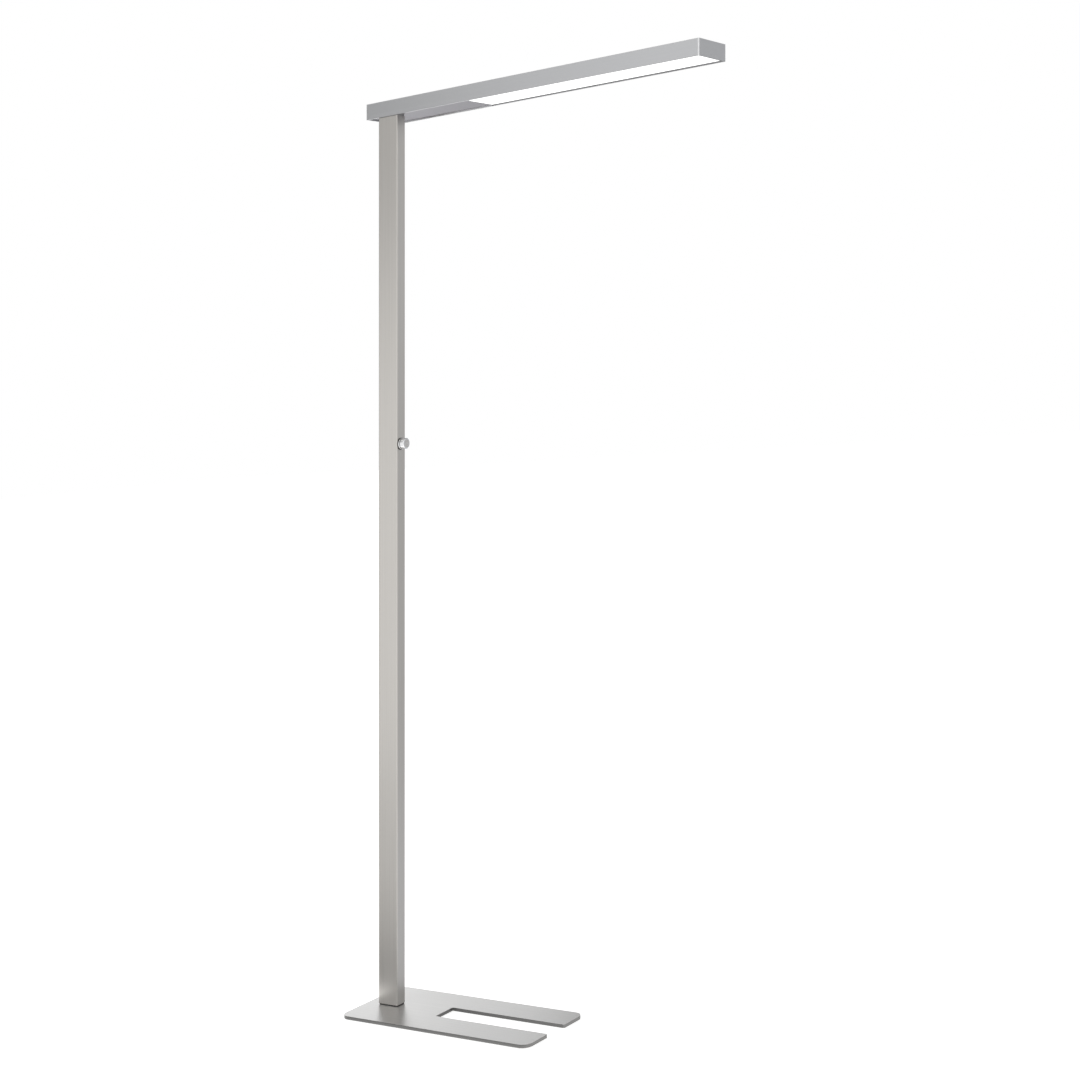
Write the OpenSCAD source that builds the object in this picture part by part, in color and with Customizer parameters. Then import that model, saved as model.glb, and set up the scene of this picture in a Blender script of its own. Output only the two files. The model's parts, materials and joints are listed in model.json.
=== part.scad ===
// Office floor lamp: a flat slotted foot, a rectangular post with a turn-and-push dimmer,
// and a long flat head that lights downwards. All sizes are millimetres.
// X runs along the head towards its tip, Y from the near long side to the far one, Z is up.
// The origin is on the floor, under the middle of the post.

/* [Overall] */
// Height from the floor to the top of the head
total_h = 1950; // [1700:10:2200]

/* [Foot] */
// Length of the foot plate
base_l = 482; // [440:2:540]
// Width of the foot plate
base_w = 208; // [180:2:250]
// Thickness of the foot plate
base_t = 7; // [6:0.5:10]
// From the middle of the post back to the plate's rear edge
base_back = 56; // [50:1:70]
// Length of the slot that clears a desk leg, from the plate's front edge
slot_l = 284; // [240:1:310]
// Width of the slot
slot_w = 59; // [50:1:70]
// Radius on the plate's four outer corners
corner_r = 21; // [10:1:24]
// Corner radius where the slot opens between the prongs
mouth_r = 4; // [1:0.5:12]
// Corner radius at the closed end of the slot
slot_r = 2; // [1:0.5:5]
// Diameter of the pads under the plate
pad_d = 16; // [12:1:18]
// Thickness of the pads
pad_t = 2; // [1.5:0.5:4]
// From the edge of the plate to the middle of a pad
pad_inset = 18; // [14:1:22]
// Height of the dark joint between the plate and the post
foot_gap = 2; // [1:0.5:5]

/* [Post] */
// Width of the post along the head
post_w = 51; // [46:1:60]
// Depth of the post across the head
post_d = 27; // [25:0.5:30]
// Wall of the post
post_wall = 2; // [1.5:0.1:2.4]
// Outer corner radius of the post
post_r = 1.6; // [1:0.2:2.4]
// Height of the dark joint between the post and the head
top_gap = 0.6; // [0.4:0.2:3]
// How far the two dark joint spacers stand back from the faces of the post
gap_inset = 1.5; // [1:0.1:2]
// Length of the block that joins the post to the foot
foot_block_h = 60; // [50:1:80]
// Length of the block that joins the post to the head, inside the post
top_block_h = 50; // [40:1:70]
// From the middle of the post to each bolt in a block
bolt_off = 14.5; // [14:0.1:15]
// Bolt diameter at both ends of the post
bolt_d = 6; // [5:0.5:6]
// How deep a bolt goes into its block
bolt_in = 20; // [16:1:24]
// Diameter of the clamping screws in the back of the post
grub_d = 4; // [3:0.5:5]
// Length of the clamping screws
grub_l = 8; // [6:1:9]

/* [Mains inlet] */
// Height of the cable inlet above the floor
inlet_z = 96; // [92:1:110]
// Bore of the cable inlet
inlet_bore = 7.5; // [6:0.5:8.5]
// Hole in the post that holds the inlet bushing
inlet_hole = 12; // [11:0.5:14]
// Diameter of the bushing's rim
inlet_rim_d = 16; // [15:0.5:18]
// Thickness of the bushing's rim
inlet_rim_t = 1.2; // [1:0.1:2]
// Size of the lower terminal block along X, Y and Z
inlet_term = [12, 16, 30];

/* [Dimmer] */
// Height of the dimmer above the floor
dimmer_z = 1212; // [1000:1:1300]
// Diameter of the black gasket between the post and the round plate
gasket_d = 26; // [25:0.5:27]
// Thickness of the gasket
gasket_t = 2; // [0.6:0.1:2.4]
// Diameter of the round plate behind the knob
bezel_d = 25; // [22:0.5:26]
// Thickness of the round plate
bezel_t = 2.8; // [2.8:0.1:4]
// Diameter of the knob
knob_d = 23.5; // [22:0.5:25]
// Length of the knob
knob_l = 9; // [9:0.2:14]
// Chamfer round the front of the knob
knob_edge = 1.5; // [1:0.1:1.8]
// Diameter of the set-in face of the knob
knob_face_d = 18; // [14:0.5:18.5]
// How far the knob can be pushed
push_travel = 1; // [0.5:0.1:1.5]
// Diameter of the dimmer's shaft
shaft_d = 6; // [5:0.5:6.5]
// Diameter of the threaded bushing that clamps the dimmer to the post
bushing_d = 9; // [8.6:0.1:9.6]
// Side of the dimmer's square case
case_w = 14; // [13:0.5:16]
// Depth of the dimmer's case inside the post
case_l = 9; // [8.4:0.2:10]
// Size of the dimmer's circuit board along X, Y and Z
dimmer_pcb = [1.6, 18, 46];

/* [Head] */
// Length of the head
head_l = 823; // [760:5:900]
// Width of the head
head_w = 105; // [100:1:120]
// Height of the head
head_h = 33.5; // [32:0.5:40]
// From the middle of the post back to the head's rear end
head_back = 57; // [50:1:66]
// From the middle of the post to the head's near long side
head_side = 17; // [16.5:0.5:24]
// Wall of the head's extrusion
head_wall = 2; // [1.6:0.1:2.2]
// Radius on the extrusion's long outer edges
head_edge_r = 0.8; // [0.4:0.1:1.2]
// Thickness of the end caps
cap_t = 3; // [2.5:0.1:5]
// Radius on the upright outer edges of the end caps
cap_r = 2; // [1:0.1:2.4]
// Length of the tongue that holds an end cap
tongue_l = 16; // [12:1:20]
// Thickness of that tongue
tongue_t = 2.5; // [2:0.1:3]
// Thickness of the lips that carry the covers and the diffuser
lip_t = 3; // [2:0.1:3.4]
// Width of those lips
lip_w = 2.5; // [2:0.1:3]
// Thickness of the two covers under the head
cover_t = 2.2; // [1.8:0.1:2.4]
// From the middle of the post to where the diffuser starts
lit_x0 = 205; // [200:1:230]
// Thickness of the diffuser
diffuser_t = 2.2; // [1.8:0.1:2.4]
// Height of the two screw rails under the top of the extrusion
rail_h = 6; // [5:0.5:7]
// Width of the screw rails
rail_w = 8; // [7:0.5:10]
// From the middle of the head to each screw rail
rail_off = 32; // [30:1:35]
// Screw diameter at the rails
rail_screw_d = 4; // [3:0.5:4]
// How deep a screw goes into a rail
rail_screw_in = 4.5; // [3:0.5:4.5]
// Thickness of the plate that the post carries the head by
plate_t = 4; // [3.5:0.5:5]
// Length of that plate
plate_l = 95; // [85:1:96]

/* [Light source] */
// Thickness of the tray that carries the light boards
tray_t = 1.5; // [1:0.1:2]
// Width of the tray
tray_w = 92; // [86:1:94]
// Number of light boards
boards = 3; // [2:1:4]
// Width of a light board
board_w = 40; // [34:1:44]
// Thickness of a light board
board_t = 1.6; // [1:0.1:2]
// Gap between two light boards
board_gap = 6; // [4:1:10]
// Number of light chips along a board
chips_x = 12; // [6:1:16]
// Number of rows of light chips on a board
chips_y = 3; // [2:1:4]
// Size of a light chip along X, Y and Z
chip = [3.5, 2.8, 0.8];
// Wall of the white reflector
reflector_wall = 1; // [0.8:0.1:1.5]
// Length of the driver's case
driver_l = 124; // [110:1:126]
// Width of the driver's case
driver_w = 54; // [44:1:55]
// Height of the driver's case
driver_h = 18; // [15:0.5:19]
// Size of the upper terminal block along X, Y and Z
head_term = [20, 28, 17];
// Diameter of the mains lead inside the post
mains_d = 6; // [5:0.5:6.5]
// Diameter of the dimmer's lead and the light boards' lead
lead_d = 4; // [3:0.5:4.5]

/* [Clearances] */
// Gap between pieces that slide into or past each other
slip = 0.3; // [0.2:0.05:0.4]
// Gap all round a block inside the post
block_fit = 0.2; // [0.1:0.05:0.3]
// Radial clearance of a turning shaft
run_fit = 0.05; // [0.02:0.01:0.1]
// Radial clearance of a screw or a bolt in its hole
screw_fit = 0.05; // [0.02:0.01:0.1]

/* [Hidden] */
$fn = 48;
eps = 0.01;
// How far a cut runs past the faces that it goes through
over = 1;

// Levels of the foot and the post
plate_z0 = pad_t;
plate_z1 = plate_z0 + base_t;
post_z0 = plate_z1 + foot_gap;
head_z1 = total_h;
head_z0 = head_z1 - head_h;
post_z1 = head_z0 - top_gap;
base_x0 = -base_back;
base_x1 = base_x0 + base_l;
slot_x0 = base_x1 - slot_l;

// Radial play of the cable inlet's bushing in its hole
push_fit = 0.1;

// The block inside each end of the post, and its narrower neck through the dark joint
post_x = post_w / 2;
block_w = post_w - 2 * post_wall - 2 * block_fit;
block_d = post_d - 2 * post_wall - 2 * block_fit;
neck_step_x = 1.8;
neck_step_y = 1.26;
neck_w = block_w - 2 * neck_step_x;
neck_d = block_d - 2 * neck_step_y;
bolt_head_d = 2 * bolt_d;
bolt_head_h = 3.3;
bolt_sink = 0.2;
grub_margin = 12;
grub_sink = 0.2;
foot_grub_z = [plate_z1 + bolt_in + grub_d, post_z0 + foot_block_h - grub_margin];
top_grub_z = [post_z1 - top_block_h + grub_margin, post_z1 - grub_margin];

// The head's box and the levels inside it
part_gap = 1;
head_x0 = -head_back;
head_x1 = head_x0 + head_l;
head_y0 = -head_side;
head_yc = head_y0 + head_w / 2;
body_x0 = head_x0 + cap_t;
body_x1 = head_x1 - cap_t;
inner_w = head_w - 2 * head_wall;
rib_t = 1.2;
groove_play = 0.4;
groove_h = max(cover_t, diffuser_t) + groove_play;
lip_z1 = head_z0 + lip_t;
rib_z1 = lip_z1 + groove_h + rib_t;
rail_z0 = head_z1 - head_wall - rail_h;
rail_y = [head_yc - rail_off, head_yc + rail_off];
panel_w = inner_w - 2 * slip;

// Screws that hold things up against the rails
pan_h = 2.6;
pan_d = 1.75 * rail_screw_d;
screw_hole_d = rail_screw_d + 2 * slip;

// The plate above the post, which its own screws hold to the rails
plate_margin = 12;
head_plate_x0 = body_x0 + tongue_l + part_gap;
head_plate_x1 = head_plate_x0 + plate_l;
head_plate_z0 = rail_z0 - plate_t;
head_plate_w = 2 * (rail_off + plate_margin);
plate_screw_x = [head_plate_x0 + plate_margin / 2, head_plate_x1 - plate_margin];

// Light tray, boards and reflector
tray_x0 = lit_x0 + 2 * part_gap;
tray_x1 = body_x1 - tongue_l - 2 * part_gap;
tray_z0 = rail_z0 - tray_t;
tray_margin = 12;
tray_screw_x = [tray_x0 + tray_margin, (tray_x0 + tray_x1) / 2, tray_x1 - tray_margin];
board_x0 = tray_x0 + 2 * part_gap;
board_pitch = (tray_x1 - 2 * part_gap - board_x0 + board_gap) / boards;
board_l = board_pitch - board_gap;
board_z0 = tray_z0 - board_t;
board_screw_d = 3;
board_screw_x = 5;
board_pan_d = 5.5;
board_pan_h = 1.8;
chip_margin_x = 14;
chip_margin_y = 7;
reflector_x0 = lit_x0 + part_gap;
reflector_x1 = body_x1 - part_gap;
reflector_z0 = rib_z1 + 0.1;
reflector_z1 = board_z0 - 0.7;
reflector_w = inner_w - 2 * part_gap;

// Driver and terminals in the rear part of the head
flange_l = 10;
flange_t = 1.5;
flange_w = 20;
driver_lead_in = 20;
driver_lead_out = 26;
driver_lead_drop = 6;
driver_x0 = head_plate_x1 + flange_l + 2 * part_gap;
driver_x1 = driver_x0 + driver_l;
driver_y1 = rail_y[1] + flange_w / 2;
driver_y0 = driver_y1 - driver_w;
driver_z0 = rail_z0 - driver_h;
driver_screw_x = [driver_x0 - flange_l / 2, driver_x1 + flange_l / 2];
head_term_x0 = driver_x0 + 2 * part_gap;
head_term_back = 9;
head_term_y0 = rail_y[0] - head_term_back;
head_term_floor = 6;

// Dimmer, from the inside of the post outwards along X
wall_x = post_x - post_wall;
case_x0 = wall_x - case_l;
chamber_d = 8.6;
chamber_x1 = wall_x - 2;
bezel_floor = 1;
bezel_x0 = post_x + gasket_t;
bezel_x1 = bezel_x0 + bezel_t;
nut_t = bezel_t - bezel_floor - 0.2;
nut_af = 11;
recess_d = 15;
bushing_x1 = bezel_x1 + 0.5;
knob_x0 = bezel_x1 + push_travel + slip;
knob_x1 = knob_x0 + knob_l;
hub_x0 = bushing_x1 + push_travel + slip;
hub_d = 11;
knob_wall = 2;
knob_end_t = 3;
face_t = 1.2;
face_sink = 0.2;
face_dish = 0.5;
face_rim = 0.5;
shaft_x0 = chamber_x1 - 1;
shaft_x1 = knob_x1 - knob_end_t;
flange_d = chamber_d - 0.8;
flange_x1 = chamber_x1 - slip;
plunger_x1 = shaft_x0 - slip;
plunger_t = 2.1;
plunger_d = flange_d - 0.2;
pivot_d = 2.4;
pivot_l = 2.5;
dome_d = 6;
dome_h = 0.9;
dome_t = 0.2;
nub_d = 2;
nub_x0 = case_x0 + dome_h + push_travel + slip;
case_base_t = 1.5;
pcb_x1 = case_x0 - case_base_t;
dimmer_plug_size = [7, 10, 8];
set_screw_d = 3;
set_screw_x = (hub_x0 + shaft_x1) / 2;

// Leads: the mains lead and the dimmer's lead climb in the post and turn across the head
lead_gap = 0.5;
lead_play = 0.75;
mains_x = -5;
control_x = pcb_x1 - dimmer_pcb[0] - dimmer_plug_size[0] / 2;
control_bend = 2 * lead_d;
control_run_y = driver_y0 + driver_lead_in;
control_run_z = head_plate_z0 - lead_d / 2 - 3 * lead_gap;
mains_run_y = head_term_y0 + head_term[1] - mains_d / 2 - 3 * lead_gap;
mains_run_z = control_run_z - lead_d / 2 - lead_gap - mains_d / 2;
mains_bend = min(1.6 * mains_d, mains_run_y / 2 - lead_gap);
window_z0 = rib_z1 - 0.5;
window_z1 = head_plate_z0 - part_gap;
led_run_y = driver_y0 + driver_lead_out;
led_run_z = head_plate_z0 - driver_lead_drop;
lead_plug = [8, 8, 9];

// Cable inlet and lower terminals, on a tongue of the block in the foot of the post
inlet_inner_l = 2.4;
tongue2_t = 3;
tongue2_h = 68;
tongue2_x0 = mains_x + inlet_term[0] / 2;
block_top = post_z0 + foot_block_h;
inlet_term_lift = 34;
inlet_term_z0 = block_top + inlet_term_lift;
term_screw_d = 3;
term_pan_d = 5.5;
term_pan_h = 1.8;
term_poles = 3;
term_pole_pitch = 5;
term_entry_d = 2.6;
term_entry_l = 4;
term_clamp_d = 3.4;
term_clamp_l = 1;
term_clamp_z = 5;
earth_lift = 16;
earth_z = block_top + earth_lift;

// A rectangle with round corners, about its middle
module round_rect(w, d, r) {
  square([w - 2 * r, d], center = true);
  square([w, d - 2 * r], center = true);
  for (sx = [-1, 1], sy = [-1, 1])
    translate([sx * (w / 2 - r), sy * (d / 2 - r)]) circle(r);
}

// A box between two opposite corners
module box_at(low, high) {
  translate(low) cube(high - low);
}

// Extrudes a section drawn in Y and Z along X
module along_x(x0, x1) {
  translate([x0, 0, 0]) rotate([90, 0, 90]) linear_extrude(x1 - x0) children();
}

// A round bar along X, at the dimmer's height
module bar_x(x0, x1, d) {
  translate([x0, 0, dimmer_z]) rotate([0, 90, 0]) cylinder(h = x1 - x0, d = d);
}

// A quarter bend of round bar that starts along X and turns to Y
module elbow(r, d) {
  translate([0, r, 0]) rotate([0, 0, -90]) rotate_extrude(angle = 90) translate([r, 0]) circle(d = d);
}

// A countersunk bolt that points up, with its head's flat face and hexagon socket at the origin
module flat_bolt(l) {
  difference() {
    union() {
      cylinder(h = bolt_head_h, d1 = bolt_head_d, d2 = bolt_d);
      cylinder(h = l, d = bolt_d);
    }
    translate([0, 0, -eps]) cylinder(h = bolt_head_h * 0.7, d = bolt_d * 0.75, $fn = 6);
  }
}

// The hole for that bolt, through a plate of thickness t whose face is bolt_sink below the origin
module flat_bolt_hole(t) {
  cylinder(h = bolt_head_h, d1 = bolt_head_d + 2 * screw_fit, d2 = bolt_d + 2 * screw_fit);
  translate([0, 0, -bolt_sink - eps]) cylinder(h = bolt_sink + 2 * eps, d = bolt_head_d + 2 * screw_fit);
  cylinder(h = t, d = bolt_d + 2 * screw_fit);
}

// A pan-head screw that points up, with the underside of its head at the origin
module pan_screw(d, head_d, head_h, l) {
  difference() {
    union() {
      cylinder(h = l, d = d);
      translate([0, 0, -head_h]) cylinder(h = head_h, d = head_d);
    }
    translate([0, 0, -head_h - eps]) cylinder(h = head_h / 2, d = head_d * 0.45, $fn = 6);
  }
}

// The same screw into a rail, through something of thickness t under it
module rail_screw(x, y, t) {
  translate([x, y, rail_z0 - t]) pan_screw(rail_screw_d, pan_d, pan_h, t + rail_screw_in);
}

// Where the pads are: under the post, at the rear corners and along both prongs
function pad_places() = [
  [0, 0],
  for (sy = [-1, 1]) [base_x0 + pad_inset, sy * (base_w / 2 - pad_inset)],
  for (sy = [-1, 1]) [slot_x0, sy * (base_w + slot_w) / 4],
  for (sy = [-1, 1]) [base_x1 - pad_inset, sy * (base_w + slot_w) / 4]
];

module base_outline() {
  difference() {
    translate([(base_x0 + base_x1) / 2, 0]) round_rect(base_l, base_w, corner_r);
    translate([slot_x0 + slot_r, -slot_w / 2]) square([slot_l, slot_w]);
    translate([slot_x0, -slot_w / 2 + slot_r]) square([slot_l, slot_w - 2 * slot_r]);
    for (sy = [-1, 1]) translate([slot_x0 + slot_r, sy * (slot_w / 2 - slot_r)]) circle(slot_r);
    for (sy = [-1, 1]) mouth_corner(sy);
  }
}

// Takes the corner off a prong where the slot opens
module mouth_corner(side) {
  corner_y = side * (slot_w / 2 + mouth_r);
  difference() {
    translate([base_x1 - mouth_r, min(side * slot_w / 2, corner_y)]) square([mouth_r + over, mouth_r]);
    translate([base_x1 - mouth_r, corner_y]) circle(mouth_r);
  }
}

module base_plate() {
  color("lightgray") difference() {
    translate([0, 0, plate_z0]) linear_extrude(base_t) base_outline();
    for (sx = [-1, 1]) translate([sx * bolt_off, 0, plate_z0 + bolt_sink]) flat_bolt_hole(base_t);
  }
}

module base_pads() {
  color("dimgray") for (p = pad_places()) translate(p) cylinder(h = pad_t, d = pad_d);
}

// A dark spacer that stands back from the faces of the post, round a block's neck
module joint_spacer(z0, z1) {
  translate([0, 0, z0]) linear_extrude(z1 - z0) difference() {
    square([post_w - 2 * gap_inset, post_d - 2 * gap_inset], center = true);
    square([neck_w + 2 * slip, neck_d + 2 * slip], center = true);
  }
}

module foot_spacer() {
  color("black") joint_spacer(plate_z1, post_z0);
}

// Holes for the clamping screws, from the back of the post to their inner ends
module grub_holes(d, z_list) {
  for (z = z_list) translate([-post_x - eps, 0, z]) rotate([0, 90, 0]) cylinder(h = grub_l + 2 * eps, d = d);
}

module foot_block() {
  color("darkgray") difference() {
    union() {
      translate([0, 0, post_z0]) linear_extrude(foot_block_h)
        square([block_w, block_d], center = true);
      translate([0, 0, plate_z1]) linear_extrude(foot_gap + eps)
        square([neck_w, neck_d], center = true);
      translate([tongue2_x0, -inlet_term[1] / 2, block_top - eps])
        cube([tongue2_t, inlet_term[1], tongue2_h]);
    }
    for (sx = [-1, 1]) translate([sx * bolt_off, 0, plate_z1 - eps])
      cylinder(h = bolt_in + over, d = bolt_d + 2 * screw_fit);
    grub_holes(grub_d + 2 * screw_fit, foot_grub_z);
    translate([tongue2_x0 - over, 0, inlet_term_z0 + inlet_term[2] / 2]) rotate([0, 90, 0])
      cylinder(h = tongue2_t + 2 * over, d = term_screw_d + 2 * screw_fit);
    translate([tongue2_x0 - over, 0, earth_z]) rotate([0, 90, 0])
      cylinder(h = tongue2_t + 2 * over, d = rail_screw_d + 2 * screw_fit);
  }
}

module base_screws() {
  color("silver") for (sx = [-1, 1]) translate([sx * bolt_off, 0, plate_z0 + bolt_sink])
    flat_bolt(base_t + bolt_in - bolt_sink);
}

module post_tube() {
  color("silver") difference() {
    translate([0, 0, post_z0]) linear_extrude(post_z1 - post_z0) difference() {
      round_rect(post_w, post_d, post_r);
      square([post_w - 2 * post_wall, post_d - 2 * post_wall], center = true);
    }
    grub_holes(grub_d + 2 * screw_fit, concat(foot_grub_z, top_grub_z));
    translate([-post_x - over, 0, inlet_z]) rotate([0, 90, 0])
      cylinder(h = post_wall + 2 * over, d = inlet_hole + 2 * push_fit);
    bar_x(wall_x - over, post_x + over, bushing_d + 4 * push_fit);
  }
}

module post_grub_screws() {
  color("dimgray") difference() {
    for (z = concat(foot_grub_z, top_grub_z)) translate([-post_x + grub_sink, 0, z]) rotate([0, 90, 0])
      cylinder(h = grub_l - 2 * grub_sink, d = grub_d);
    for (z = concat(foot_grub_z, top_grub_z)) translate([-post_x, 0, z]) rotate([0, 90, 0])
      cylinder(h = grub_l / 3, d = grub_d / 2, $fn = 6);
  }
}

module inlet_bushing() {
  color("black") translate([-post_x - inlet_rim_t, 0, inlet_z]) rotate([0, 90, 0]) difference() {
    union() {
      cylinder(h = inlet_rim_t, d = inlet_rim_d);
      cylinder(h = inlet_rim_t + post_wall + inlet_inner_l, d = inlet_hole);
    }
    translate([0, 0, -over]) cylinder(h = post_w, d = inlet_bore);
  }
}

module inlet_terminals() {
  term_x0 = tongue2_x0 - inlet_term[0];
  color("ivory") difference() {
    translate([term_x0, -inlet_term[1] / 2, inlet_term_z0]) cube(inlet_term);
    translate([term_x0 - over, 0, inlet_term_z0 + inlet_term[2] / 2]) rotate([0, 90, 0])
      cylinder(h = post_w, d = term_screw_d + 2 * slip);
    // Wire entries and clamp screws of each pole, at both ends of the block
    for (pole = [0 : term_poles - 1], end = [0, 1])
      translate([term_x0, (pole - (term_poles - 1) / 2) * term_pole_pitch, inlet_term_z0]) {
        translate([term_entry_d, 0, end * inlet_term[2] - term_entry_l / 2])
          cylinder(h = term_entry_l, d = term_entry_d);
        translate([-over, 0, term_clamp_z + end * (inlet_term[2] - 2 * term_clamp_z)]) rotate([0, 90, 0])
          cylinder(h = over + term_clamp_l, d = term_clamp_d);
      }
  }
}

module inlet_terminal_screw() {
  color("silver") translate([tongue2_x0 - inlet_term[0], 0, inlet_term_z0 + inlet_term[2] / 2])
    rotate([0, 90, 0]) pan_screw(term_screw_d, term_pan_d, term_pan_h, inlet_term[0] + tongue2_t);
}

module earth_screw() {
  color("gold") translate([tongue2_x0, 0, earth_z]) rotate([0, 90, 0])
    pan_screw(rail_screw_d, pan_d, pan_h, tongue2_t + rail_screw_d / 2);
}

// A lead that climbs inside the post, turns across the head and then runs along it
module climbing_lead(x, z0, d, bend, run_y, run_z, x_end) {
  translate([x, 0, z0]) cylinder(h = run_z - bend - z0, d = d);
  translate([x, 0, run_z - bend]) rotate([0, -90, 0]) elbow(bend, d);
  translate([x, bend, run_z]) rotate([-90, 0, 0]) cylinder(h = run_y - 2 * bend, d = d);
  translate([x, run_y - bend, run_z]) rotate([180, 0, 90]) elbow(bend, d);
  translate([x + bend, run_y, run_z]) rotate([0, 90, 0]) cylinder(h = x_end - x - bend, d = d);
}

module mains_lead() {
  color("white") climbing_lead(
    mains_x, inlet_term_z0 + inlet_term[2] + slip, mains_d, mains_bend,
    mains_run_y, mains_run_z, head_term_x0 - slip
  );
}

module top_block() {
  color("darkgray") difference() {
    union() {
      translate([0, 0, post_z1 - top_block_h]) linear_extrude(top_block_h)
        square([block_w, block_d], center = true);
      translate([0, 0, post_z1 - eps]) linear_extrude(head_plate_z0 - post_z1 + eps)
        square([neck_w, neck_d], center = true);
    }
    for (sx = [-1, 1]) translate([sx * bolt_off, 0, head_plate_z0 - bolt_in - over])
      cylinder(h = bolt_in + 2 * over, d = bolt_d + 2 * screw_fit);
    grub_holes(grub_d + 2 * screw_fit, top_grub_z);
    // Ways for the two leads, and the window where they turn across the head
    translate([mains_x, 0, post_z1 - top_block_h - over])
      cylinder(h = window_z0 - post_z1 + top_block_h + 2 * over, d = mains_d + 2 * lead_play);
    translate([control_x, 0, post_z1 - top_block_h - over])
      cylinder(h = window_z0 - post_z1 + top_block_h + 2 * over, d = lead_d + 2 * lead_play);
    box_at(
      [mains_x - mains_d / 2 - lead_play, -mains_d / 2 - lead_play, window_z0],
      [control_x + lead_d / 2 + lead_play, block_d, window_z1]
    );
  }
}

module top_spacer() {
  color("black") joint_spacer(post_z1, lip_z1);
}

module encoder_body() {
  color("gray") difference() {
    union() {
      box_at([case_x0, -case_w / 2, dimmer_z - case_w / 2], [wall_x, case_w / 2, dimmer_z + case_w / 2]);
      bar_x(wall_x - eps, bushing_x1, bushing_d);
    }
    bar_x(case_x0 - over, chamber_x1, chamber_d);
    bar_x(case_x0, bushing_x1 + over, shaft_d + 2 * run_fit);
  }
}

module encoder_base() {
  color("saddlebrown")
    box_at([pcb_x1, -case_w / 2, dimmer_z - case_w / 2], [case_x0, case_w / 2, dimmer_z + case_w / 2]);
}

// A cone-shaped bar along X, at the dimmer's height
module cone_x(x0, x1, d0, d1) {
  translate([x0, 0, dimmer_z]) rotate([0, 90, 0]) cylinder(h = x1 - x0, d1 = d0, d2 = d1);
}

// A shallow snap dome that the plunger presses
module contact_dome() {
  color("gold") difference() {
    cone_x(case_x0, case_x0 + dome_h, dome_d, dome_d / 2);
    cone_x(case_x0 - eps, case_x0 + dome_h - dome_t, dome_d - 2 * dome_t, dome_d / 2 - dome_t);
  }
}

module switch_plunger() {
  color("white") {
    bar_x(nub_x0, plunger_x1, nub_d);
    bar_x(plunger_x1 - plunger_t, plunger_x1, plunger_d);
    bar_x(plunger_x1 - eps, plunger_x1 + pivot_l, pivot_d);
  }
}

module encoder_shaft() {
  color("lightgray") difference() {
    union() {
      bar_x(shaft_x0, shaft_x1, shaft_d);
      bar_x(shaft_x0, flange_x1, flange_d);
    }
    bar_x(shaft_x0 - over, shaft_x0 + pivot_l + slip, pivot_d + 2 * run_fit);
  }
}

module bushing_nut() {
  color("silver") difference() {
    bar_nut(bezel_x0 + bezel_floor, nut_t, nut_af);
    bar_x(post_x, bezel_x1 + over, bushing_d + 2 * screw_fit);
  }
}

// A six-sided nut along X, given its size across the flats
module bar_nut(x0, t, af) {
  translate([x0, 0, dimmer_z]) rotate([0, 90, 0]) cylinder(h = t, d = af / cos(30), $fn = 6);
}

module dimmer_gasket() {
  color("black") difference() {
    bar_x(post_x, bezel_x0, gasket_d);
    bar_x(post_x - over, bezel_x0 + over, bushing_d + 4 * push_fit);
  }
}

module dimmer_bezel() {
  color("whitesmoke") difference() {
    bar_x(bezel_x0, bezel_x1, bezel_d);
    bar_x(bezel_x0 - over, bezel_x1 + over, bushing_d + 4 * push_fit);
    bar_x(bezel_x0 + bezel_floor, bezel_x1 + over, recess_d);
  }
}

module dimmer_knob() {
  color("whitesmoke") difference() {
    union() {
      bar_x(knob_x0, knob_x1 - knob_edge, knob_d);
      cone_x(knob_x1 - knob_edge, knob_x1, knob_d, knob_d - 2 * knob_edge);
    }
    difference() {
      bar_x(knob_x0 - over, knob_x1 - knob_end_t, knob_d - 2 * knob_wall);
      bar_x(hub_x0, knob_x1, hub_d);
    }
    bar_x(knob_x0 - over, shaft_x1 + eps, shaft_d + 2 * screw_fit);
    bar_x(knob_x1 - face_t, knob_x1 + over, knob_face_d + 2 * screw_fit);
    translate([set_screw_x, 0, dimmer_z]) cylinder(h = knob_d, d = set_screw_d + 2 * screw_fit);
  }
}

module knob_face() {
  face_x1 = knob_x1 - face_sink;
  color("silver") difference() {
    bar_x(knob_x1 - face_t, face_x1, knob_face_d);
    cone_x(face_x1 - face_dish, face_x1 + eps, knob_face_d / 4, knob_face_d - 2 * face_rim);
  }
}

module knob_set_screw() {
  color("dimgray") translate([set_screw_x, 0, dimmer_z + shaft_d / 2 + slip])
    cylinder(h = (knob_d - shaft_d) / 2 - 3 * slip, d = set_screw_d);
}

module dimmer_board() {
  color("darkgreen") box_at(
    [pcb_x1 - dimmer_pcb[0], -dimmer_pcb[1] / 2, dimmer_z - dimmer_pcb[2] / 2],
    [pcb_x1, dimmer_pcb[1] / 2, dimmer_z + dimmer_pcb[2] / 2]
  );
}

module dimmer_plug() {
  plug_x1 = pcb_x1 - dimmer_pcb[0];
  plug_z1 = dimmer_z + dimmer_pcb[2] / 2;
  color("ivory") box_at(
    [plug_x1 - dimmer_plug_size[0], -dimmer_plug_size[1] / 2, plug_z1 - dimmer_plug_size[2]],
    [plug_x1, dimmer_plug_size[1] / 2, plug_z1]
  );
}

module control_lead() {
  color("gray") climbing_lead(
    control_x, dimmer_z + dimmer_pcb[2] / 2 + slip, lead_d, control_bend,
    control_run_y, control_run_z, driver_x0 - slip
  );
}

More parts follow.
